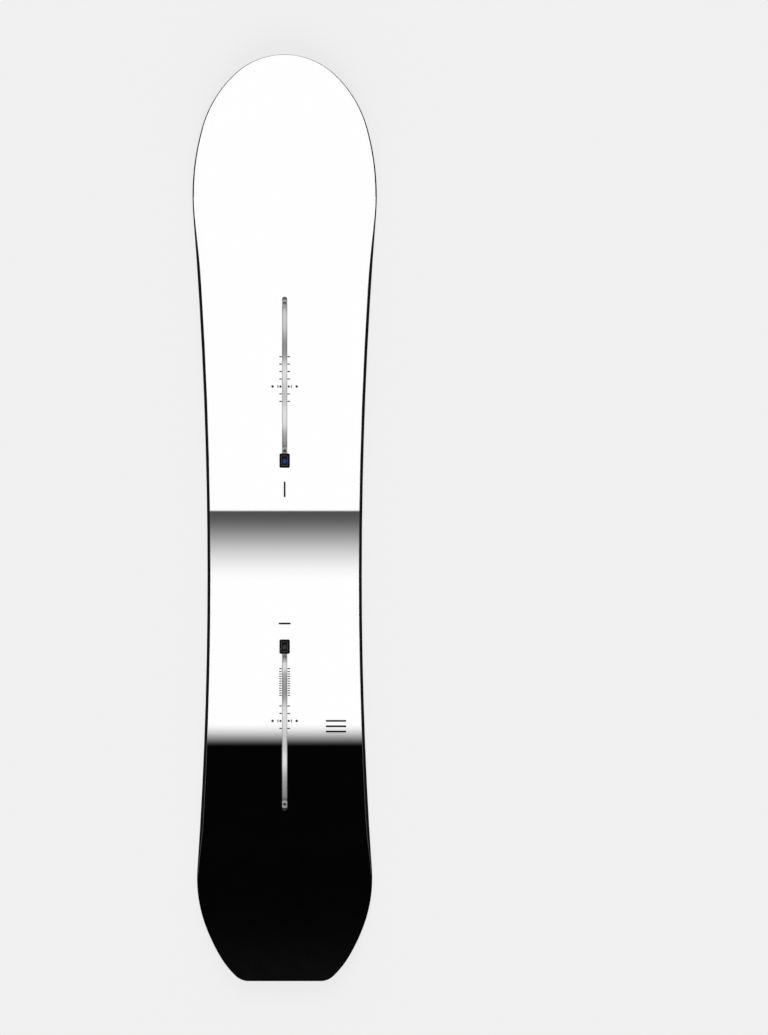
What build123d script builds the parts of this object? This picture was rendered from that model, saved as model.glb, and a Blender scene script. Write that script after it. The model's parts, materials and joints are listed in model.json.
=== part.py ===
from build123d import *
import os
from math import cos, radians, sin, sqrt, tan

# Directional snowboard with two T-slot binding channels, modelled in millimetres.
#
# Frame: the board lies flat on its running base. +Z points up out of the topsheet, +Y to the
# nose and X across. The origin is under the middle of the board's length, in the plane of the
# flat running base (Z = 0).
#
# The laminate is a stack of layers. Every layer is a slice between two long profile curves
# (the running base or the deck, shifted up or down) that is trimmed by the board's outline.

# ---------------------------------------------------------------- driving dimensions
LENGTH = 1560.0                 # nose to tail, measured flat
NOSE_Y = LENGTH / 2
TAIL_Y = -LENGTH / 2

# outline: tangent arcs. The turns are the normals' directions where two of them meet.
WAIST_HALF = 130.0              # half of the waist width
WAIST_Y = -97.0                 # the waist sits behind the middle
NOSE_RADII = (124.0, 195.0, 418.0)
NOSE_TURNS = (47.0, 16.0)
TAIL_RADII = (228.0, 321.0, 155.0, 31.0)
TAIL_TURNS = (-20.2, -30.3, -46.6)
TAIL_FLAT_HALF = 60.8           # half of the straight stretch across the blunt tail

# long profile
NOSE_CONTACT_Y = 540.0          # the base lifts off the snow in front of this line
TAIL_CONTACT_Y = -600.0         # and behind this one
NOSE_KICK_RADIUS = 650.0
TAIL_KICK_RADIUS = 616.0
DECK_HEIGHT = 10.0              # full thickness, between the ramps
TIP_THICKNESS = 5.6             # thickness in both kicks
NOSE_RAMP_Y = 390.0             # the deck starts to thin here towards the nose
TAIL_RAMP_Y = -505.0            # and here towards the tail
PROFILE_OVERRUN = 25.0          # the profile curves run past the tips by this much

# laminate, from the snow up
BASE_THICKNESS = 1.4
GLASS_THICKNESS = 0.7
TOPSHEET_THICKNESS = 0.6
CORE_BOTTOM = BASE_THICKNESS + GLASS_THICKNESS
UNDER_TOPSHEET = -TOPSHEET_THICKNESS
UNDER_TOP_GLASS = UNDER_TOPSHEET - GLASS_THICKNESS

# rim: steel edge, bevelled sidewall, and the narrow ledge round the kicks
EDGE_WIDTH = 2.0
EDGE_ANCHOR = 5.0               # the edge's thin flange, between base sheet and core
EDGE_GLASS_INSET = EDGE_WIDTH + EDGE_ANCHOR
SIDEWALL_INSET = 7.0            # outline of the wooden core
BEVEL_ANGLE = 35.0              # sidewall slope, from the vertical
BEVEL_OVERRUN = 2.0             # the bevel's trimming solid ends this far above the deck
KICK_LEDGE = 2.3                # topsheet inset at the contact lines
KICK_LEDGE_AT_TIP = 0.5

# core stringers
CENTRE_STRINGER_HALF = 8.5
STRINGER_LINES = (CENTRE_STRINGER_HALF, 38.0, 68.0, 98.0, 200.0)   # the last is past the rim
STRINGER_NAMES = ("inner", "middle", "outer", "edge")

# T-slot channels: one in front, one behind, mirror images along the board
FRONT_PLUG_Y = 96.4
REAR_PLUG_Y = -216.9
SLOT_REACH = 276.2              # plug centre to the slot's far end
SLOT_HALF = 4.45
CHANNEL_HALF = CENTRE_STRINGER_HALF
CHANNEL_WALL = 1.8
CHANNEL_FLOOR = 1.0
CHANNEL_LIP = 2.0
CHANNEL_TOP = DECK_HEIGHT - TOPSHEET_THICKNESS
CHANNEL_END_WALL = 4.0
CHANNEL_PLUG_END = 14.0         # plug centre to the channel's near end
CAVITY_HALF = CHANNEL_HALF - CHANNEL_WALL
CAVITY_BOTTOM = CORE_BOTTOM + CHANNEL_FLOOR
CAVITY_TOP = CHANNEL_TOP - CHANNEL_LIP

# plug that closes the window where channel nuts are loaded
PLUG_FLANGE = (17.2, 23.9)
PLUG_FLANGE_CORNER = 2.4
PLUG_BODY = (13.0, 19.0)
PLUG_BODY_CORNER = 1.5
PLUG_RECESS = (11.4, 17.4)
PLUG_RECESS_CORNER = 1.4
PLUG_RECESS_DEPTH = 0.3
PLUG_GAP = 0.2                  # play all round the plug
PLUG_FOOT = 0.5                 # the plug's foot stays this far above the channel floor

# channel nuts, M6
NUT_LENGTH = 12.0
NUT_SIDE_GAP = 0.3
NUT_FOOT_HEIGHT = 3.8           # wide foot, under the lips
NUT_NECK_TOP = 8.4              # narrow neck, between the lips
NUT_NECK_GAP = 0.35
NUT_NECK_CORNER = 1.2
NUT_FOOT_CORNER = 1.0
M6_HOLE_RADIUS = 3.0
NUT_REACHES = {"inner": 16.5, "outer": 265.5}   # plug centre to the parked nut's centre

# round inlay let into the running base, with a plain dot at its middle
DISC_Y = 546.0
DISC_RADIUS = 49.0
DOT_RADIUS = 14.0

WIDE = 400.0                    # wider than the board, for profile prisms
TALL = 160.0                    # taller than the board, for outline prisms
BELOW = -20.0


# ---------------------------------------------------------------- outline
def unit(angle):
    """Direction of a normal, in degrees from +X."""
    return Vector(cos(radians(angle)), sin(radians(angle)))


def sidecut(centre, radius):
    """Radius and end angle of the concave arc from the waist that meets a convex arc tangentially."""
    across = WAIST_HALF - centre.X
    along = WAIST_Y - centre.Y
    concave = (across**2 + along**2 - radius**2) / (2 * (radius - across))
    turn = Vector(1, 0).get_angle(Vector(across + concave, abs(along)))
    return concave, turn


def tangent_centres(first, radii, turns):
    """Centres of convex arcs that run on from each other where their normals reach turns."""
    centres = [first]
    for turn, radius, following in zip(turns, radii, radii[1:]):
        centres.append(centres[-1] + unit(turn) * (radius - following))
    return centres


def convex_arcs(centres, radii, ends):
    """Arcs in order, each from one end angle to the next."""
    return [
        (centre, radius, start, end, False)
        for centre, radius, start, end in zip(centres, radii, ends, ends[1:])
    ]


def outline_arcs():
    """Right-hand arcs from nose to tail: centre, radius, start angle, end angle, is it concave."""
    nose_centres = tangent_centres(Vector(0, NOSE_Y - NOSE_RADII[0]), NOSE_RADII, NOSE_TURNS)
    front_cut, front_turn = sidecut(nose_centres[-1], NOSE_RADII[-1])
    nose_ends = (90.0, *NOSE_TURNS, -front_turn)

    first_tail_centre = Vector(TAIL_FLAT_HALF, TAIL_Y + TAIL_RADII[-1])
    from_the_tip = tangent_centres(first_tail_centre, TAIL_RADII[::-1], TAIL_TURNS[::-1])
    rear_cut, rear_turn = sidecut(from_the_tip[-1], TAIL_RADII[0])
    tail_ends = (rear_turn, *TAIL_TURNS, -90.0)

    nose = convex_arcs(nose_centres, NOSE_RADII, nose_ends)
    front = (Vector(WAIST_HALF + front_cut, WAIST_Y), front_cut, -front_turn, 0.0, True)
    rear = (Vector(WAIST_HALF + rear_cut, WAIST_Y), rear_cut, 0.0, rear_turn, True)
    tail = convex_arcs(from_the_tip[::-1], TAIL_RADII, tail_ends)
    return [*nose, front, rear, *tail]


def arc_point(arc, angle, inset):
    centre, radius, _, _, concave = arc
    if concave:
        return centre - unit(angle) * (radius + inset)
    return centre + unit(angle) * (radius - inset)


def outline_face(inset=0.0, shift_y=0.0):
    """The board's outline, moved inwards by inset, as one face in the XY plane."""
    edges = []
    joint = None
    for arc in outline_arcs():
        _, _, start, end, _ = arc
        right = [arc_point(arc, angle, inset) for angle in (start, (start + end) / 2, end)]
        if joint is not None:
            right[0] = joint
        joint = right[-1]
        left = [Vector(-point.X, point.Y) for point in right]
        edges.append(ThreePointArc(*right))
        edges.append(ThreePointArc(*left))
    edges.append(Line(joint, Vector(-joint.X, joint.Y)))
    return make_face(edges).face().moved(Location((0, shift_y, 0)))


def prism(face, bottom=BELOW, top=TALL):
    return extrude(face.moved(Location((0, 0, bottom))), amount=top - bottom, dir=(0, 0, 1))


def outline_prism(inset=0.0, shift_y=0.0):
    return prism(outline_face(inset, shift_y))


def bevelled_prism():
    """Outline prism whose wall leans inwards above the steel edge, as the sidewall does."""
    height = DECK_HEIGHT + BEVEL_OVERRUN - CORE_BOTTOM
    run = height * tan(radians(BEVEL_ANGLE))
    foot = outline_face().moved(Location((0, 0, CORE_BOTTOM)))
    head = outline_face(run).moved(Location((0, 0, CORE_BOTTOM + height)))
    return Part() + loft([foot, head], ruled=True)


def block(x_range, y_range, z_range):
    size = [high - low for low, high in (x_range, y_range, z_range)]
    middle = [(high + low) / 2 for low, high in (x_range, y_range, z_range)]
    return Location(middle) * Box(*size)


def zone(y_range):
    return block((-WIDE / 2, WIDE / 2), y_range, (BELOW, TALL))


# ---------------------------------------------------------------- long profile
def arc_through(start, middle, end):
    return ThreePointArc((0, *start), (0, *middle), (0, *end))


def line_to(start, end):
    return Line((0, *start), (0, *end))


def kick_arc(contact_y, radius, tip_y, lift):
    """Upward arc that starts level at the contact line and ends above tip_y."""
    reach = tip_y - contact_y
    half = reach / 2
    middle = (contact_y + half, lift + radius - sqrt(radius**2 - half**2))
    end = (tip_y, lift + radius - sqrt(radius**2 - reach**2))
    return arc_through((contact_y, lift), middle, end), end


def base_curve(shift):
    """Running base, moved up by shift: tail kick, flat, nose kick. Returns edges and both ends."""
    tail_end = TAIL_Y - PROFILE_OVERRUN
    nose_end = NOSE_Y + PROFILE_OVERRUN
    tail, tail_point = kick_arc(TAIL_CONTACT_Y, TAIL_KICK_RADIUS, tail_end, shift)
    nose, nose_point = kick_arc(NOSE_CONTACT_Y, NOSE_KICK_RADIUS, nose_end, shift)
    flat = line_to((TAIL_CONTACT_Y, shift), (NOSE_CONTACT_Y, shift))
    return [tail, flat, nose], tail_point, nose_point


def ramp(thick_y, thin_y, shift):
    """Two equal arcs that carry the deck down from full thickness to the tip thickness."""
    high = DECK_HEIGHT + shift
    low = TIP_THICKNESS + shift
    run = thin_y - thick_y
    drop = high - low
    radius = (run**2 + drop**2) / (4 * drop)
    centre_y, centre_z = thick_y + run / 2, (high + low) / 2
    quarter = run / 4
    sag = radius - sqrt(radius**2 - quarter**2)
    first = arc_through((thick_y, high), (thick_y + quarter, high - sag), (centre_y, centre_z))
    second = arc_through((centre_y, centre_z), (thin_y - quarter, low + sag), (thin_y, low))
    return [first, second]


def deck_curve(shift):
    """Deck, moved by shift (negative is into the board), with its ramps and both kicks."""
    low = TIP_THICKNESS + shift
    tail, tail_point = kick_arc(TAIL_CONTACT_Y, TAIL_KICK_RADIUS, TAIL_Y - PROFILE_OVERRUN, low)
    nose, nose_point = kick_arc(NOSE_CONTACT_Y, NOSE_KICK_RADIUS, NOSE_Y + PROFILE_OVERRUN, low)
    flat = line_to((TAIL_RAMP_Y, DECK_HEIGHT + shift), (NOSE_RAMP_Y, DECK_HEIGHT + shift))
    edges = [tail, *ramp(TAIL_RAMP_Y, TAIL_CONTACT_Y, shift), flat]
    edges += [*ramp(NOSE_RAMP_Y, NOSE_CONTACT_Y, shift), nose]
    return edges, tail_point, nose_point


def layer(lower, upper):
    """Full-width slice of the board between two profile curves."""
    lower_edges, lower_tail, lower_nose = lower
    upper_edges, upper_tail, upper_nose = upper
    ends = [line_to(lower_tail, upper_tail), line_to(lower_nose, upper_nose)]
    face = make_face([*lower_edges, *upper_edges, *ends]).face()
    return extrude(face.moved(Location((-WIDE / 2, 0, 0))), amount=WIDE, dir=(1, 0, 0))


# ---------------------------------------------------------------- zones along the board
FLAT = (TAIL_CONTACT_Y, NOSE_CONTACT_Y)
NOSE = (NOSE_CONTACT_Y, NOSE_Y + PROFILE_OVERRUN)
TAIL = (TAIL_Y - PROFILE_OVERRUN, TAIL_CONTACT_Y)


def split_sides(shape, name, parts):
    """Split a symmetrical rim piece into its left and right halves."""
    reach = (TAIL_Y, NOSE_Y)
    parts[f"{name}_left"] = shape & block((-WIDE / 2, 0), reach, (BELOW, TALL))
    parts[f"{name}_right"] = shape & block((0, WIDE / 2), reach, (BELOW, TALL))


def deck_skin(slab):
    """Trim a deck layer: bevelled along the sidewalls, set back behind a ledge in the kicks."""
    slip = KICK_LEDGE - KICK_LEDGE_AT_TIP
    flat = slab & bevelled_prism() & zone(FLAT)
    nose = slab & outline_prism(KICK_LEDGE, slip) & zone(NOSE)
    tail = slab & outline_prism(KICK_LEDGE, -slip) & zone(TAIL)
    return flat + nose + tail


def edge_ring(parts):
    """Steel edge: a square rail round the rim with a thin anchoring flange inside it."""
    outer = outline_prism()
    rail = layer(base_curve(0), base_curve(CORE_BOTTOM)) & (outer - outline_prism(EDGE_WIDTH))
    flange_band = outline_prism(EDGE_WIDTH) - outline_prism(EDGE_GLASS_INSET)
    flange = layer(base_curve(BASE_THICKNESS), base_curve(CORE_BOTTOM)) & flange_band
    ring = rail + flange
    split_sides(ring & zone(FLAT), "steel_edge", parts)
    parts["steel_edge_nose"] = ring & zone(NOSE)
    parts["steel_edge_tail"] = ring & zone(TAIL)


def base_sheet(parts):
    """Running base, with the round inlay and the dot at its middle let in flush."""
    slab = layer(base_curve(0), base_curve(BASE_THICKNESS))
    disc_prism = prism(Pos(0, DISC_Y) * Circle(DISC_RADIUS).face())
    dot_prism = prism(Pos(0, DISC_Y) * Circle(DOT_RADIUS).face())
    parts["base_sheet"] = (slab & outline_prism(EDGE_WIDTH)) - disc_prism
    parts["base_disc_inlay"] = (slab & disc_prism) - dot_prism
    parts["base_disc_dot"] = slab & dot_prism


def channel_slot(width_half, y_near, y_far, z_range):
    """Straight slot along Y with a round far end."""
    low, high = sorted((y_near, y_far))
    straight = block((-width_half, width_half), (low, high), z_range)
    end = Pos(0, y_far, (z_range[0] + z_range[1]) / 2)
    return straight + end * Cylinder(width_half, z_range[1] - z_range[0])


def rounded_block(size, corner, centre_y, z_range):
    face = (Pos(0, centre_y) * RectangleRounded(*size, corner)).face()
    return prism(face, *z_range)


def grown(size, margin):
    return tuple(length + 2 * margin for length in size)


def channel(plug_y, way):
    """Extruded T-slot. way is +1 where the slot runs towards the nose and -1 towards the tail."""
    near = plug_y - way * CHANNEL_PLUG_END
    slot_end = plug_y + way * SLOT_REACH
    far = slot_end + way * CHANNEL_END_WALL
    y_range = tuple(sorted((near, far)))
    body = block((-CHANNEL_HALF, CHANNEL_HALF), y_range, (CORE_BOTTOM, CHANNEL_TOP))
    cavity_range = tuple(sorted((plug_y - way * (PLUG_BODY[1] / 2 + PLUG_GAP), slot_end)))
    cavity = block((-CAVITY_HALF, CAVITY_HALF), cavity_range, (CAVITY_BOTTOM, CAVITY_TOP))
    mouth = channel_slot(SLOT_HALF, plug_y, slot_end - way * SLOT_HALF, (CAVITY_BOTTOM, TALL))
    window = rounded_block(
        grown(PLUG_BODY, PLUG_GAP), PLUG_BODY_CORNER, plug_y, (CAVITY_BOTTOM, TALL)
    )
    return body - cavity - mouth - window, y_range


def deck_opening(plug_y, way):
    """What a channel and its plug cut out of the topsheet."""
    slot_end = plug_y + way * SLOT_REACH
    slot = channel_slot(SLOT_HALF, plug_y, slot_end - way * SLOT_HALF, (BELOW, TALL))
    recess = rounded_block(
        grown(PLUG_FLANGE, PLUG_GAP), PLUG_FLANGE_CORNER, plug_y, (BELOW, TALL)
    )
    return slot + recess


def plug(plug_y):
    """Moulded plug and the thin panel in its face."""
    flange = rounded_block(
        PLUG_FLANGE, PLUG_FLANGE_CORNER, plug_y, (CHANNEL_TOP, DECK_HEIGHT)
    )
    body = rounded_block(
        PLUG_BODY, PLUG_BODY_CORNER, plug_y, (CAVITY_BOTTOM + PLUG_FOOT, CHANNEL_TOP)
    )
    floor = DECK_HEIGHT - PLUG_RECESS_DEPTH
    panel = rounded_block(PLUG_RECESS, PLUG_RECESS_CORNER, plug_y, (floor, DECK_HEIGHT))
    return flange + body - panel, panel


def channel_nut(centre_y):
    """T-shaped M6 nut that slides under the channel's lips."""
    foot_size = (2 * (CAVITY_HALF - NUT_SIDE_GAP), NUT_LENGTH)
    neck_size = (2 * (SLOT_HALF - NUT_NECK_GAP), NUT_LENGTH)
    foot_top = CAVITY_BOTTOM + NUT_FOOT_HEIGHT
    foot = rounded_block(foot_size, NUT_FOOT_CORNER, centre_y, (CAVITY_BOTTOM, foot_top))
    neck = rounded_block(neck_size, NUT_NECK_CORNER, centre_y, (foot_top, NUT_NECK_TOP))
    height = NUT_NECK_TOP - CAVITY_BOTTOM
    hole = Pos(0, centre_y, CAVITY_BOTTOM + height / 2) * Cylinder(M6_HOLE_RADIUS, height)
    return foot + neck - hole


def core(parts, channel_ranges):
    """Wooden stringers between the kicks, with the centre one broken by the channels."""
    slab = layer(base_curve(CORE_BOTTOM), deck_curve(UNDER_TOP_GLASS))
    wood = slab & outline_prism(SIDEWALL_INSET) & zone(FLAT)
    for name, near, far in zip(STRINGER_NAMES, STRINGER_LINES, STRINGER_LINES[1:]):
        parts[f"core_{name}_left"] = wood & block((-far, -near), FLAT, (BELOW, TALL))
        parts[f"core_{name}_right"] = wood & block((near, far), FLAT, (BELOW, TALL))
    front, rear = channel_ranges
    centre = (-CENTRE_STRINGER_HALF, CENTRE_STRINGER_HALF)
    stretches = {
        "nose": (front[1], NOSE_CONTACT_Y),
        "middle": (rear[1], front[0]),
        "tail": (TAIL_CONTACT_Y, rear[0]),
    }
    for name, y_range in stretches.items():
        parts[f"core_centre_{name}"] = wood & block(centre, y_range, (BELOW, TALL))
    sidewall = slab & (bevelled_prism() - outline_prism(SIDEWALL_INSET)) & zone(FLAT)
    split_sides(sidewall, "sidewall", parts)
    parts["nose_spacer"] = slab & outline_prism() & zone(NOSE)
    parts["tail_spacer"] = slab & outline_prism() & zone(TAIL)


def build():
    """Every sub-part of the board, by node name."""
    parts = {}
    base_sheet(parts)
    edge_ring(parts)
    glass = layer(base_curve(BASE_THICKNESS), base_curve(CORE_BOTTOM))
    parts["bottom_fibreglass"] = glass & outline_prism(EDGE_GLASS_INSET)

    channel_ranges = []
    openings = []
    for name, plug_y, way in (("front", FRONT_PLUG_Y, 1), ("rear", REAR_PLUG_Y, -1)):
        parts[f"{name}_channel"], y_range = channel(plug_y, way)
        channel_ranges.append(y_range)
        openings.append(deck_opening(plug_y, way))
        parts[f"{name}_plug"], parts[f"{name}_plug_panel"] = plug(plug_y)
        for place, reach in NUT_REACHES.items():
            parts[f"{name}_nut_{place}"] = channel_nut(plug_y + way * reach)
    core(parts, channel_ranges)

    top_glass = deck_skin(layer(deck_curve(UNDER_TOP_GLASS), deck_curve(UNDER_TOPSHEET)))
    topsheet = deck_skin(layer(deck_curve(UNDER_TOPSHEET), deck_curve(0)))
    for y_range, opening in zip(channel_ranges, openings):
        top_glass -= block((-CHANNEL_HALF, CHANNEL_HALF), y_range, (BELOW, TALL))
        topsheet -= opening
    parts["top_fibreglass"] = top_glass
    parts["topsheet"] = topsheet
    return parts


def main():
    os.makedirs("parts", exist_ok=True)
    for name, shape in build().items():
        pieces = shape if isinstance(shape, list) else [shape]
        solids = [solid for piece in pieces for solid in piece.solids()]
        export_step(Compound(children=solids), f"parts/{name}.step")


if __name__ == "__main__":
    main()
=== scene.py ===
import json
from math import cos, pi, sin

import bmesh
import bpy
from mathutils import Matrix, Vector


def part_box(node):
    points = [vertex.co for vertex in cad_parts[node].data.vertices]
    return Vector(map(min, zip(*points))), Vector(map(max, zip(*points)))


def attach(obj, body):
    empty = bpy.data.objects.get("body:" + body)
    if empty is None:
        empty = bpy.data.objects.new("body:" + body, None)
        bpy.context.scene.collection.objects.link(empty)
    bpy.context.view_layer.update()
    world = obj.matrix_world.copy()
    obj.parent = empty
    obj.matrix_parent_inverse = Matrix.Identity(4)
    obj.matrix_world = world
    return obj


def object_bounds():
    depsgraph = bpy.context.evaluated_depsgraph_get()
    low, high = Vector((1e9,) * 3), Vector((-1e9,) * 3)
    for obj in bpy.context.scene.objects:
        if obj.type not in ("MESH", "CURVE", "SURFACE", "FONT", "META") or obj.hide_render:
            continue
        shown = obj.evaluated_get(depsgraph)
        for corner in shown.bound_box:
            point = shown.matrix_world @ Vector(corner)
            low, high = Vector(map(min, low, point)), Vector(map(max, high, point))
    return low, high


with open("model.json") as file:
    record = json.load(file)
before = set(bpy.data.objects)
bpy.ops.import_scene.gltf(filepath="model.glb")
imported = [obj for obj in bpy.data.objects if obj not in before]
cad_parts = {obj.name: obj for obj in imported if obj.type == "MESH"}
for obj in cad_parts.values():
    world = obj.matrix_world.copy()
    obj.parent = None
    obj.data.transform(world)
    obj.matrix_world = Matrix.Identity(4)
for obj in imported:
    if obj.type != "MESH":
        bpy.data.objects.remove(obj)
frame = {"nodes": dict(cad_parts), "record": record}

# The frame is in metres. Everything named MM or worked out by mm() below is in millimetres.
MM = 0.001
cad_low, cad_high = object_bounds()
mounts = {mount["name"]: mount for mount in frame["record"]["mounts"]}


def mm(value):
    return value / MM


LENGTH = mm(cad_high.y) - mm(cad_low.y)
DECK = mm(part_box("front_plug")[1].z)
FRONT_STANCE = mm(mounts["front_deck_pad"]["pos_m"][1])
REAR_STANCE = mm(mounts["rear_deck_pad"]["pos_m"][1])
SLOT_HALF = 4.45

# ---------------------------------------------------------------- palette, as sRGB
PAPER = (247, 247, 247)
INK = (1, 1, 1)
BLACK_PLASTIC = (3, 3, 4)
PLUG_PLASTIC = (12, 12, 13)
MARK_INK = (12, 12, 13)
STEEL = (188, 189, 192)
# Colours painted as a glow in the middle of the plugs' panels.
PAINTED_GLOW_BLUE = (38, 66, 132)
PAINTED_GLOW_SMOKE = (62, 60, 62)
PLUM = (84, 18, 50)
RED = (226, 6, 20)
MAGENTA = (220, 10, 110)
PURPLE = (120, 16, 116)


def linear(srgb):
    """Scene-linear RGBA of an 8-bit sRGB colour."""
    channels = []
    for value in srgb:
        part = value / 255
        channels.append(part / 12.92 if part <= 0.04045 else ((part + 0.055) / 1.055) ** 2.4)
    return (*channels, 1.0)


# ---------------------------------------------------------------- shader building
class Graph:
    """The node graph of one material, with short ways to add and link nodes."""

    def __init__(self, name):
        self.material = bpy.data.materials.new(name)
        self.material.use_nodes = True
        self.tree = self.material.node_tree
        self.surface = self.tree.nodes["Principled BSDF"]

    def node(self, kind, **settings):
        made = self.tree.nodes.new("ShaderNode" + kind)
        for key, value in settings.items():
            setattr(made, key, value)
        return made

    def feed(self, socket, value):
        """Links a node's output to the socket, or sets the socket to a constant."""
        if isinstance(value, bpy.types.NodeSocket):
            self.tree.links.new(value, socket)
        else:
            socket.default_value = value

    def set(self, **inputs):
        """Feeds the surface shader's sockets; an underscore in a name stands for a space."""
        for key, value in inputs.items():
            self.feed(self.surface.inputs[key.replace("_", " ")], value)

    def math(self, operation, first, second=0.0, clamp=False):
        made = self.node("Math", operation=operation, use_clamp=clamp)
        self.feed(made.inputs[0], first)
        self.feed(made.inputs[1], second)
        return made.outputs[0]

    def add(self, first, second):
        return self.math("ADD", first, second)

    def take(self, first, second):
        return self.math("SUBTRACT", first, second)

    def times(self, first, second):
        return self.math("MULTIPLY", first, second)

    def ramp(self, value, start, end, low=0.0, high=1.0):
        """Smooth step from low, at start, to high, at end. start may be the larger one."""
        made = self.node("MapRange", interpolation_type="SMOOTHSTEP")
        self.feed(made.inputs["Value"], value)
        self.feed(made.inputs["From Min"], start)
        self.feed(made.inputs["From Max"], end)
        self.feed(made.inputs["To Min"], low)
        self.feed(made.inputs["To Max"], high)
        return made.outputs["Result"]

    def mix(self, factor, first, second):
        """First colour where factor is 0, and second where it is 1."""
        made = self.node("Mix", data_type="RGBA")
        self.feed(made.inputs["Factor"], factor)
        self.feed(made.inputs["A"], first)
        self.feed(made.inputs["B"], second)
        return made.outputs["Result"]

    def place(self, stretch=(1.0, 1.0, 1.0)):
        """Position on the object in millimetres, stretched along each axis."""
        where = self.node("TexCoord").outputs["Object"]
        made = self.node("VectorMath", operation="MULTIPLY")
        self.feed(made.inputs[0], where)
        self.feed(made.inputs[1], tuple(mm(factor) for factor in stretch))
        return made.outputs["Vector"]

    def split(self, vector):
        made = self.node("SeparateXYZ")
        self.feed(made.inputs["Vector"], vector)
        return made.outputs["X"], made.outputs["Y"], made.outputs["Z"]

    def noise(self, vector, size, detail=2.0, roughness=0.5):
        """Noise from 0 to 1 whose blotches are about size across."""
        made = self.node("TexNoise")
        self.feed(made.inputs["Vector"], vector)
        made.inputs["Scale"].default_value = 1 / size
        made.inputs["Detail"].default_value = detail
        made.inputs["Roughness"].default_value = roughness
        return made.outputs["Fac"]

    def profile(self, value, points):
        """A smooth curve through (value, result) points, level beyond both ends."""
        lows = [min(point[axis] for point in points) for axis in (0, 1)]
        spans = [max(point[axis] for point in points) - lows[axis] for axis in (0, 1)]
        along = self.math("DIVIDE", self.take(value, lows[0]), spans[0], clamp=True)
        made = self.node("FloatCurve")
        curve = made.mapping.curves[0]
        for _ in points[2:]:
            curve.points.new(0.5, 0.5)
        for knot, point in zip(curve.points, sorted(points)):
            knot.location = [(point[axis] - lows[axis]) / spans[axis] for axis in (0, 1)]
        made.mapping.update()
        self.feed(made.inputs["Value"], along)
        return self.add(self.times(made.outputs["Value"], spans[1]), lows[1])

    def bump(self, height, distance, strength=1.0):
        """Relief of that many millimetres on the surface shader."""
        made = self.node("Bump")
        made.inputs["Strength"].default_value = strength
        made.inputs["Distance"].default_value = distance * MM
        self.feed(made.inputs["Height"], height)
        self.feed(self.surface.inputs["Normal"], made.outputs["Normal"])


# ---------------------------------------------------------------- printed faces
# The deck is white, with one plain band straight across it and a plain black tail. Places along
# and across the board are in millimetres from its middle.
BAND_FRONT = 10.0
BAND_REAR = -110.0
BAND_EDGE = 4.0
BAND_DARKNESS = 0.92
TAIL_FADE_FRONT = -345.0
TAIL_FADE_REAR = -385.0
# The running base has three even stripes along a plain dark ground: middle, colour.
STRIPES = ((-80.0, RED), (0.0, MAGENTA), (80.0, PURPLE))
STRIPE_HALF = 24.0
BLACK = (0.0, 0.0, 0.0, 1.0)


def spot(art, x, y, centre, size, core=0.1):
    """Soft patch: 0 at the rim of an ellipse and 1 in its core."""
    across = art.math("POWER", art.math("DIVIDE", art.take(x, centre[0]), size[0]), 2.0)
    along = art.math("POWER", art.math("DIVIDE", art.take(y, centre[1]), size[1]), 2.0)
    return art.ramp(art.math("SQRT", art.add(across, along)), 1.0, core)


def topsheet_print():
    """Printed deck: a crisp-fronted band that fades rearwards, and a tail that fades to black."""
    art = Graph("topsheet_print")
    place = art.place()
    _, y, _ = art.split(place)
    front = art.ramp(y, BAND_FRONT + BAND_EDGE, BAND_FRONT)
    fade = art.ramp(y, BAND_REAR, BAND_FRONT, 0.0, BAND_DARKNESS)
    colour = art.mix(art.times(front, fade), linear(PAPER), linear(INK))
    colour = art.mix(art.ramp(y, TAIL_FADE_FRONT, TAIL_FADE_REAR), colour, linear(INK))
    sheen = art.noise(place, 24, detail=3)
    art.set(Base_Color=colour, Roughness=art.ramp(sheen, 0.2, 0.8, 0.34, 0.44))
    art.surface.inputs["Specular IOR Level"].default_value = 0.02
    art.bump(art.noise(place, 1.6, detail=2), 0.02, 0.35)
    return art.material


def base_print():
    """Printed running base: even soft stripes from nose to tail, with a faint grain."""
    art = Graph("base_print")
    x, _, _ = art.split(art.place())
    colour = linear(PLUM)
    for middle, tint in STRIPES:
        away = art.math("ABSOLUTE", art.take(x, middle))
        colour = art.mix(art.ramp(away, STRIPE_HALF, 0.0), colour, linear(tint))
    grain = art.noise(art.place((1.0, 0.08, 1.0)), 3.0, detail=3)
    colour = art.mix(art.ramp(grain, 0.3, 0.7, 0.0, 0.08), colour, BLACK)
    art.set(Base_Color=colour, Roughness=0.42)
    art.surface.inputs["Specular IOR Level"].default_value = 0.01
    stone_grind(art)
    return art.material


def stone_grind(art):
    """Fine lengthwise grooves that a ground polyethylene base has."""
    grooves = art.noise(art.place((1.0, 0.02, 1.0)), 0.7, detail=2)
    art.bump(grooves, 0.03, 0.5)


def base_white():
    """White inlay of the same ground polyethylene."""
    art = Graph("base_white")
    tone = art.noise(art.place(), 18, detail=3)
    white, grey = linear((252, 252, 252)), linear((210, 210, 214))
    colour = art.mix(art.ramp(tone, 0.3, 0.8, 0.0, 0.06), white, grey)
    art.set(Base_Color=colour, Roughness=0.4)
    stone_grind(art)
    return art.material


# ---------------------------------------------------------------- other materials
# Painted reflections: soft light and dark bands of reflected light painted on the channels: place
# along the board, brightness from 0 to 1.
CHANNEL_PAINTED_REFLECTIONS = [
    (-492, 0.09), (-450, 0.38), (-434, 0.58), (-420, 0.86), (-407, 1.00), (-384, 0.76), (-330, 0.97),
    (-292, 0.34), (-262, 0.55), (-246, 0.97), (-226, 0.61), (110, 0.30), (154, 0.86), (176, 0.98),
    (205, 0.72), (245, 0.96), (286, 0.31), (333, 0.78), (374, 0.42),
]
TOW_PITCH = 2.6
# Size of the glow painted in each plug's panel, and how far rearwards of the panel's middle it sits.
PAINTED_GLOW_HALF = (5.4, 6.4)
PAINTED_GLOW_REARWARDS = 1.0


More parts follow.
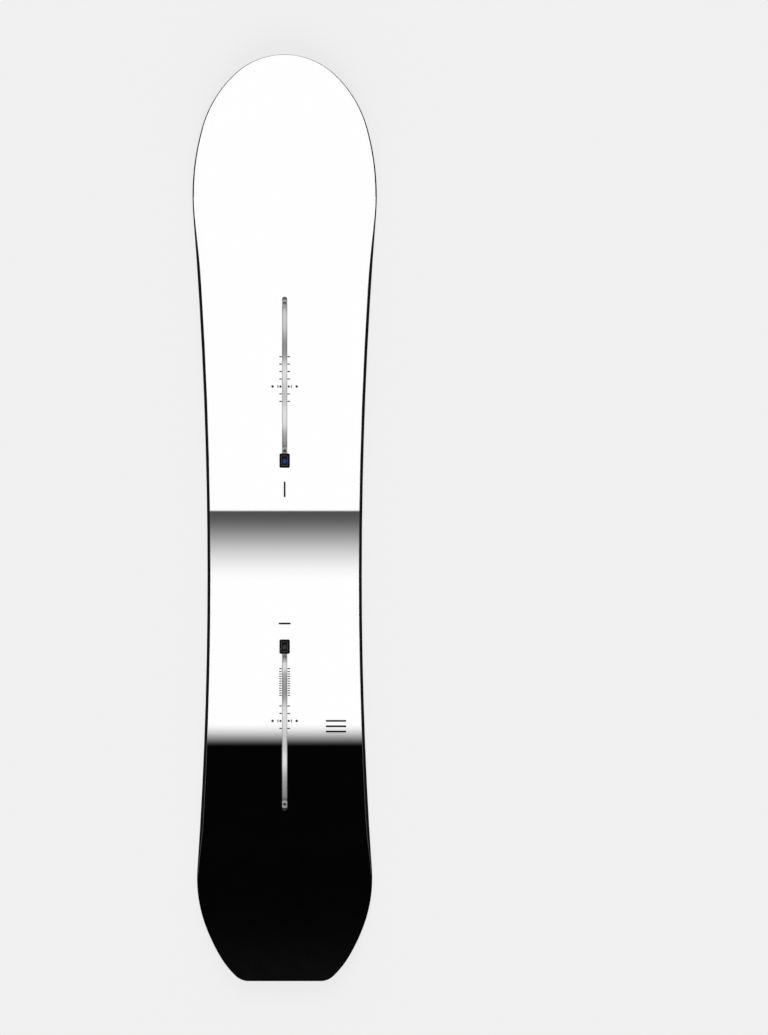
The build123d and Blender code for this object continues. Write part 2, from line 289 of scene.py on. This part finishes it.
def black_plastic(name, stretch, shade=BLACK_PLASTIC, rough=(0.42, 0.56)):
    """Satin black moulded or milled plastic, with tooling lines where stretch is uneven."""
    art = Graph(name)
    place = art.place(stretch)
    tone = art.noise(place, 5.0, detail=4)
    colour = art.mix(art.ramp(tone, 0.3, 0.75), linear(shade), linear([2 * part for part in shade]))
    art.set(Base_Color=colour, Roughness=art.ramp(tone, 0.3, 0.7, *rough))
    art.surface.inputs["Specular IOR Level"].default_value = 0.02
    art.bump(art.noise(place, 0.8, detail=3), 0.03, 0.5)
    return art.material


def ground_steel(name, shade, stretch):
    """Steel with fine grinding marks across the direction in which stretch is small."""
    art = Graph(name)
    lines = art.noise(art.place(stretch), 0.6, detail=4, roughness=0.6)
    bright = linear(shade)
    colour = art.mix(art.ramp(lines, 0.25, 0.8), linear([0.72 * part for part in shade]), bright)
    art.set(Base_Color=colour, Roughness=art.ramp(lines, 0.2, 0.8, 0.28, 0.46))
    art.surface.inputs["Metallic"].default_value = 1.0
    art.bump(lines, 0.02, 0.5)
    return art.material


def anodised_channel():
    """Clear anodised extrusion: long soft bands of painted reflection, painted shade towards the
    slot's sides, and drawing lines along its length.
    """
    art = Graph("channel_anodised")
    x, y, _ = art.split(art.place())
    # Painted reflection: light and dark bands along the channel, painted into its colour.
    tone = art.profile(y, CHANNEL_PAINTED_REFLECTIONS)
    lines = art.noise(art.place((1.0, 0.01, 1.0)), 0.5, detail=3)
    colour = art.mix(tone, linear((96, 96, 98)), linear((255, 255, 255)))
    colour = art.mix(art.ramp(lines, 0.3, 0.75, 0.0, 0.10), colour, linear((90, 90, 92)))
    # Painted shade: the channel is darkened towards its sides, where the slot's lips shade it.
    rim = art.ramp(art.math("ABSOLUTE", x), 2.6, 4.2)
    colour = art.mix(art.times(rim, 0.35), colour, linear((70, 70, 72)))
    art.set(Base_Color=colour, Roughness=art.ramp(lines, 0.2, 0.8, 0.36, 0.5))
    art.surface.inputs["Metallic"].default_value = 0.12
    art.bump(lines, 0.02, 0.5)
    return art.material


def plated_nut():
    """Dull zinc-plated steel of the channel nuts."""
    art = Graph("nut_plated")
    place = art.place()
    tone = art.noise(place, 2.4, detail=4)
    colour = art.mix(art.ramp(tone, 0.3, 0.8), linear((146, 147, 148)), linear((176, 176, 175)))
    art.set(Base_Color=colour, Roughness=art.ramp(tone, 0.2, 0.8, 0.3, 0.5))
    art.surface.inputs["Metallic"].default_value = 0.2
    art.bump(art.noise(place, 0.5, detail=3), 0.02, 0.5)
    return art.material


def core_wood():
    """Pale laminated wood, with grain and growth lines along the board."""
    art = Graph("core_wood")
    place = art.place((1.0, 0.03, 1.0))
    rings = art.noise(place, 3.2, detail=5, roughness=0.6)
    pores = art.noise(art.place((1.0, 0.08, 1.0)), 0.9, detail=3)
    colour = art.mix(art.ramp(rings, 0.3, 0.7), linear((206, 170, 122)), linear((176, 132, 84)))
    colour = art.mix(art.ramp(pores, 0.62, 0.75, 0.0, 0.35), colour, linear((112, 78, 46)))
    art.set(Base_Color=colour, Roughness=0.6)
    art.bump(pores, 0.08, 0.5)
    return art.material


def glass_laminate():
    """Smoke-dark resin over glass tows that cross at 45 degrees."""
    art = Graph("glass_laminate")
    x, y, _ = art.split(art.place())
    weave = 1.0
    for along in (art.add(x, y), art.take(x, y)):
        tow = art.math("SINE", art.times(along, 2 * pi / TOW_PITCH))
        weave = art.times(weave, tow)
    colour = art.mix(art.ramp(weave, -1, 1), linear((26, 27, 24)), linear((52, 54, 47)))
    art.set(Base_Color=colour, Roughness=0.35)
    art.bump(weave, 0.03, 0.5)
    return art.material


def plug_panel(name, end, glow):
    """Gloss-black window with a painted glow of colour at its middle."""
    art = Graph(name)
    low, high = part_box(f"{end}_plug_panel")
    x, y, _ = art.split(art.place())
    centre = (mm((low.x + high.x) / 2), mm((low.y + high.y) / 2) - PAINTED_GLOW_REARWARDS)
    # Painted glow: a soft patch of coloured light painted in the middle of the panel.
    middle = spot(art, x, y, centre, PAINTED_GLOW_HALF)
    colour = art.mix(middle, linear((7, 7, 10)), linear(glow))
    art.set(Base_Color=colour, Roughness=0.3)
    art.surface.inputs["Specular IOR Level"].default_value = 0.1
    art.bump(art.noise(art.place((1.0, 0.15, 1.0)), 2.0, detail=3), 0.01, 0.4)
    return art.material


def bead_plastic():
    """Dark grey plastic of the line round each plug's panel."""
    art = Graph("plug_bead")
    tone = art.noise(art.place(), 1.5, detail=3)
    colour = art.mix(art.ramp(tone, 0.2, 0.8), linear((58, 58, 62)), linear((84, 84, 88)))
    art.set(Base_Color=colour, Roughness=0.4)
    return art.material


def mark_ink():
    """Screen-printed mark, a touch uneven where the ink is thin."""
    art = Graph("mark_ink")
    thin = art.noise(art.place(), 0.8, detail=3)
    colour = art.mix(art.ramp(thin, 0.45, 0.9, 0.0, 0.25), linear(MARK_INK), linear((110, 110, 110)))
    art.set(Base_Color=colour, Roughness=0.5)
    art.surface.inputs["Specular IOR Level"].default_value = 0.1
    return art.material


# ---------------------------------------------------------------- mesh building
DOT_SIDES = 24
CORNER_STEPS = 6


def prisms(name, outlines, low, high, body, material):
    """Closed flat prisms over outlines (lists of (x, y) in millimetres), from low to high."""
    mesh = bmesh.new()
    for outline in outlines:
        rings = []
        for height in (low, high):
            rings.append([mesh.verts.new((x * MM, y * MM, height * MM)) for x, y in outline])
        mesh.faces.new(rings[0][::-1])
        mesh.faces.new(rings[1])
        count = len(outline)
        for index in range(count):
            after = (index + 1) % count
            mesh.faces.new((rings[0][index], rings[0][after], rings[1][after], rings[1][index]))
    bmesh.ops.recalc_face_normals(mesh, faces=mesh.faces)
    finish_piece(name, mesh, body, material)


def band(name, outer, inner, low, high, body, material):
    """Closed flat ring between two equal-length loops, from low to high."""
    mesh = bmesh.new()
    corners = [
        [mesh.verts.new((x * MM, y * MM, height * MM)) for x, y in loop]
        for loop, height in ((outer, low), (outer, high), (inner, high), (inner, low))
    ]
    count = len(outer)
    for index in range(count):
        after = (index + 1) % count
        for this, following in zip(corners, corners[1:] + corners[:1]):
            mesh.faces.new((this[index], this[after], following[after], following[index]))
    bmesh.ops.recalc_face_normals(mesh, faces=mesh.faces)
    finish_piece(name, mesh, body, material)


def finish_piece(name, mesh, body, material):
    """Makes the mesh an object that rides a body."""
    data = bpy.data.meshes.new(name)
    mesh.to_mesh(data)
    mesh.free()
    piece = bpy.data.objects.new(name, data)
    bpy.context.scene.collection.objects.link(piece)
    data.materials.append(material)
    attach(piece, body)


def bar(x, y, width, height):
    """Outline of a bar with its middle at (x, y)."""
    across, along = width / 2, height / 2
    left, right = x - across, x + across
    rear, front = y - along, y + along
    return [(left, rear), (right, rear), (right, front), (left, front)]


def circle(x, y, radius):
    """Outline of a dot with its middle at (x, y)."""
    turns = [2 * pi * index / DOT_SIDES for index in range(DOT_SIDES)]
    return [(x + radius * cos(turn), y + radius * sin(turn)) for turn in turns]


def rounded_rectangle(x, y, width, height, corner):
    """Outline of a rectangle with its middle at (x, y) and quarter-circle corners."""
    outline = []
    for quarter, (across, along) in enumerate(((1, 1), (-1, 1), (-1, -1), (1, -1))):
        for step in range(CORNER_STEPS + 1):
            turn = pi / 2 * (quarter + step / CORNER_STEPS)
            outline.append((
                x + across * (width / 2 - corner) + corner * cos(turn),
                y + along * (height / 2 - corner) + corner * sin(turn),
            ))
    return outline


# ---------------------------------------------------------------- printed marks on the deck
INK_LOW = DECK - 0.02
INK_HIGH = DECK + 0.05
TICK_PITCH = 12.58
TICK_LENGTH = 4.1
TICK_THICK = 1.9
SLOT_MARGIN = 0.35
DASH_PITCH = 4.0
DASH_ACROSS = 7.1
DASH_THICK = 1.6
DASH_COUNT = 11
FRONT_TICKS = (4, 3, 2, 1, -1, -2)
REAR_TICKS = (7, 2, 1, -1)
# Stance dots and dashes on each side of a slot: distance from the middle, then size.
OUTER_DOT = (20.3, 2.1)
INNER_DOT = (7.0, 1.9)
STANCE_DASH = (11.3, 1.6, 4.8)
# Plain bars: middle across and along, then width and height.
CENTRE_BAR = (0.0, -178.0, 20.0, 3.0)
LENGTH_BAR = (0.0, 48.0, 3.0, 26.0)
SIDE_BAR = (86.5, -342.0, 34.0, 3.0)
SIDE_BAR_PITCH = 9.0
SIDE_BAR_COUNT = 3


def print_on_deck(name, outlines, material):
    prisms(name, outlines, INK_LOW, INK_HIGH, "board", material)


def stance_marks(end, stance, steps, material):
    """Half-inch ticks along both sides of a slot, and a row of dots at the stance centre."""
    outlines = []
    inner = SLOT_HALF + SLOT_MARGIN + TICK_LENGTH / 2
    for step in steps:
        for side in (-1, 1):
            outlines.append(bar(side * inner, stance + step * TICK_PITCH, TICK_LENGTH, TICK_THICK))
    for side in (-1, 1):
        for away, radius in (OUTER_DOT, INNER_DOT):
            outlines.append(circle(side * away, stance, radius))
        away, width, height = STANCE_DASH
        outlines.append(bar(side * away, stance, width, height))
    print_on_deck(f"{end}_stance_marks", outlines, material)


def slot_captions(material):
    """Equal plain dashes down both sides of the rear slot."""
    top = REAR_STANCE + max(REAR_TICKS) * TICK_PITCH - TICK_THICK / 2 - DASH_PITCH
    outlines = []
    for step in range(DASH_COUNT):
        for side in (-1, 1):
            outlines.append(bar(side * DASH_ACROSS, top - step * DASH_PITCH, TICK_LENGTH, DASH_THICK))
    print_on_deck("slot_captions", outlines, material)


def plain_bars(material):
    """Plain bars where the board carries its printed marks, which are left out."""
    print_on_deck("deck_centre_bar", [bar(*CENTRE_BAR)], material)
    x, y, width, height = SIDE_BAR
    rules = [bar(x, y - step * SIDE_BAR_PITCH, width, height) for step in range(SIDE_BAR_COUNT)]
    print_on_deck("deck_side_bars", rules, material)
    print_on_deck("deck_length_bar", [bar(*LENGTH_BAR)], material)


# ---------------------------------------------------------------- hardware details
THREAD_PITCH = 1.0
THREAD_DEPTH = 0.42
THREAD_CREST = 0.42
THREAD_FOOT = 0.84
THREAD_INSET = 0.3
STEPS_PER_TURN = 28
BEAD_OUTSIDE = (0.8, 1.2)       # how much smaller than the panel, and the corner radius
BEAD_INSIDE = (1.9, 0.7)
BEAD_SUNK = 0.15
BEAD_PROUD = 0.12


def nut_thread(node, material):
    """Helical ridge inside a channel nut's hole."""
    low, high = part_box(node)
    mount = mounts[node + "_thread"]
    radius = mount["dims"]["r_mm"]
    x, y = mm(mount["pos_m"][0]), mm(mount["pos_m"][1])
    bottom, top = mm(low.z) + THREAD_INSET, mm(high.z) - THREAD_INSET
    turns = (top - bottom - THREAD_PITCH) / THREAD_PITCH
    count = int(turns * STEPS_PER_TURN)
    ridge = ((radius, 0.0), (radius - THREAD_DEPTH, THREAD_CREST), (radius, THREAD_FOOT))
    mesh = bmesh.new()
    rows = []
    for index in range(count + 1):
        turn = 2 * pi * index / STEPS_PER_TURN
        height = bottom + THREAD_PITCH * index / STEPS_PER_TURN
        row = []
        for reach, lift in ridge:
            point_x, point_y = x + reach * cos(turn), y + reach * sin(turn)
            row.append(mesh.verts.new((point_x * MM, point_y * MM, (height + lift) * MM)))
        rows.append(row)
    for row, following in zip(rows, rows[1:]):
        for side in range(3):
            after = (side + 1) % 3
            mesh.faces.new((row[side], following[side], following[after], row[after]))
    mesh.faces.new(rows[0])
    mesh.faces.new(rows[-1][::-1])
    bmesh.ops.recalc_face_normals(mesh, faces=mesh.faces)
    finish_piece(node + "_thread", mesh, node, material)


def plug_bead(end, material):
    """Thin raised outline round the panel in a plug's face."""
    low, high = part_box(f"{end}_plug_panel")
    centre = mm((low.y + high.y) / 2)
    width, height = mm(high.x - low.x), mm(high.y - low.y)
    outer, inner = [
        rounded_rectangle(0, centre, width - less, height - less, corner)
        for less, corner in (BEAD_OUTSIDE, BEAD_INSIDE)
    ]
    low, high = mm(high.z) - BEAD_SUNK, mm(high.z) + BEAD_PROUD
    band(f"{end}_plug_bead", outer, inner, low, high, f"{end}_plug", material)


# ---------------------------------------------------------------- stage
FLOOR_TONE = 0.868
FLOOR_EVEN = 0.87               # share of the floor's tone that no shadow can dim
FLOOR_DROP = 0.0005             # metres
FLOOR_HALF = 90.0               # metres
SUN_LEAN = 0.68                 # radians
SUN_STRENGTH = 1.02
SUN_SPREAD = 0.6                # radians


def floor():
    """Evenly lit pale floor with a faint shadow, clear from below, so that the base can be seen."""
    mesh = bmesh.new()
    corners = bar(0.0, 0.0, 2 * FLOOR_HALF, 2 * FLOOR_HALF)
    mesh.faces.new([mesh.verts.new((x, y, -FLOOR_DROP)) for x, y in corners])
    data = bpy.data.meshes.new("floor")
    mesh.to_mesh(data)
    mesh.free()
    plane = bpy.data.objects.new("floor", data)
    bpy.context.scene.collection.objects.link(plane)
    art = Graph("floor_paper")
    shaded = (1 - FLOOR_EVEN) * FLOOR_TONE
    art.set(Base_Color=(shaded, shaded, shaded, 1.0), Roughness=1.0)
    art.set(Emission_Color=(1.0, 1.0, 1.0, 1.0), Emission_Strength=FLOOR_EVEN * FLOOR_TONE)
    art.surface.inputs["Specular IOR Level"].default_value = 0.0
    clear = art.node("BsdfTransparent")
    both = art.node("MixShader")
    art.feed(both.inputs[0], art.node("NewGeometry").outputs["Backfacing"])
    art.feed(both.inputs[1], art.surface.outputs[0])
    art.feed(both.inputs[2], clear.outputs[0])
    art.feed(art.tree.nodes["Material Output"].inputs["Surface"], both.outputs[0])
    data.materials.append(art.material)
    plane.visible_diffuse = False
    plane.visible_glossy = False
    plane.visible_shadow = False


def daylight():
    """Even light from the sides, dimmer overhead so that black gloss stays black."""
    world = bpy.data.worlds.new("studio")
    bpy.context.scene.world = world
    world.use_nodes = True
    tree = world.node_tree
    background = tree.nodes["Background"]
    background.inputs["Color"].default_value = (1.0, 1.0, 1.0, 1.0)
    direction = tree.nodes.new("ShaderNodeTexCoord").outputs["Generated"]
    split = tree.nodes.new("ShaderNodeSeparateXYZ")
    tree.links.new(direction, split.inputs[0])
    overhead = tree.nodes.new("ShaderNodeMapRange")
    overhead.interpolation_type = "SMOOTHSTEP"
    for name, value in (("From Min", 0.45), ("From Max", 0.88), ("To Min", 1.08), ("To Max", 0.14)):
        overhead.inputs[name].default_value = value
    tree.links.new(split.outputs["Z"], overhead.inputs["Value"])
    seen = tree.nodes.new("ShaderNodeMix")
    straight = tree.nodes.new("ShaderNodeLightPath").outputs["Is Camera Ray"]
    tree.links.new(straight, seen.inputs["Factor"])
    tree.links.new(overhead.outputs["Result"], seen.inputs["A"])
    seen.inputs["B"].default_value = FLOOR_TONE
    tree.links.new(seen.outputs["Result"], background.inputs["Strength"])


def suns():
    """Two large soft lights in line with the board, so that both look down into its slots."""
    for name, lean in (("key", SUN_LEAN), ("fill", -SUN_LEAN)):
        data = bpy.data.lights.new(name, "SUN")
        data.energy = SUN_STRENGTH
        data.angle = SUN_SPREAD
        lamp = bpy.data.objects.new(name, data)
        lamp.rotation_euler = (lean, 0.0, 0.0)
        bpy.context.scene.collection.objects.link(lamp)


BOARD_SHARE_OF_FRAME = 0.8948
BOARD_LEFT_OF_MIDDLE = 0.0960
BOARD_BELOW_MIDDLE = 0.00035
LENS = 1000.0                   # millimetres, so that the view is all but parallel
SENSOR_WIDTH = 36.0             # millimetres
CLIP_END = 200.0                # metres


def camera():
    """Long lens straight above, with the board left of the middle and the nose at the top."""
    data = bpy.data.cameras.new("camera")
    data.lens = LENS
    data.sensor_width = SENSOR_WIDTH
    frame_height = LENGTH * MM / BOARD_SHARE_OF_FRAME
    beside = BOARD_LEFT_OF_MIDDLE * frame_height
    ahead = BOARD_BELOW_MIDDLE * frame_height
    distance = frame_height * LENS / SENSOR_WIDTH
    eye = bpy.data.objects.new("camera", data)
    eye.location = (beside, ahead, distance + DECK * MM)
    data.clip_end = CLIP_END
    bpy.context.scene.collection.objects.link(eye)
    bpy.context.scene.camera = eye
    bpy.context.scene.view_settings.view_transform = "Standard"
    bpy.context.scene.view_settings.look = "None"


# ---------------------------------------------------------------- build
def paint(material, *names):
    """Gives CAD nodes their material."""
    for name in names:
        slots = frame["nodes"][name].data.materials
        slots.clear()
        slots.append(material)


def paint_board():
    """Gives every CAD node its material, and the nuts their threads."""
    printed = base_print()
    nodes = sorted(frame["nodes"])
    paint(topsheet_print(), "topsheet")
    paint(printed, "base_sheet", "base_disc_dot")
    paint(base_white(), "base_disc_inlay")
    paint(glass_laminate(), "top_fibreglass", "bottom_fibreglass")
    paint(core_wood(), *[name for name in nodes if name.startswith("core_")])
    milled = black_plastic("sidewall_milled", (1.0, 0.05, 1.0))
    paint(milled, "sidewall_left", "sidewall_right")
    paint(black_plastic("spacer_moulded", (1.0, 1.0, 1.0)), "nose_spacer", "tail_spacer")
    steel = ground_steel("edge_ground", STEEL, (0.3, 1.0, 0.3))
    paint(steel, *[name for name in nodes if name.startswith("steel_edge")])
    paint(anodised_channel(), "front_channel", "rear_channel")
    paint(black_plastic("plug_moulded", (1.0, 1.0, 1.0), PLUG_PLASTIC), "front_plug", "rear_plug")
    # The plugs' panels carry a painted glow of colour.
    paint(plug_panel("panel_painted_glow_blue", "front", PAINTED_GLOW_BLUE), "front_plug_panel")
    paint(plug_panel("panel_painted_glow_grey", "rear", PAINTED_GLOW_SMOKE), "rear_plug_panel")
    plated = plated_nut()
    nuts = [name for name in nodes if "_nut_" in name]
    paint(plated, *nuts)
    for name in nuts:
        nut_thread(name, plated)


def print_marks():
    """Stance scales and plain bars on the deck."""
    ink = mark_ink()
    stance_marks("front", FRONT_STANCE, FRONT_TICKS, ink)
    stance_marks("rear", REAR_STANCE, REAR_TICKS, ink)
    slot_captions(ink)
    plain_bars(ink)


paint_board()
print_marks()
bead = bead_plastic()
for end in ("front", "rear"):
    plug_bead(end, bead)
floor()
daylight()
suns()
camera()
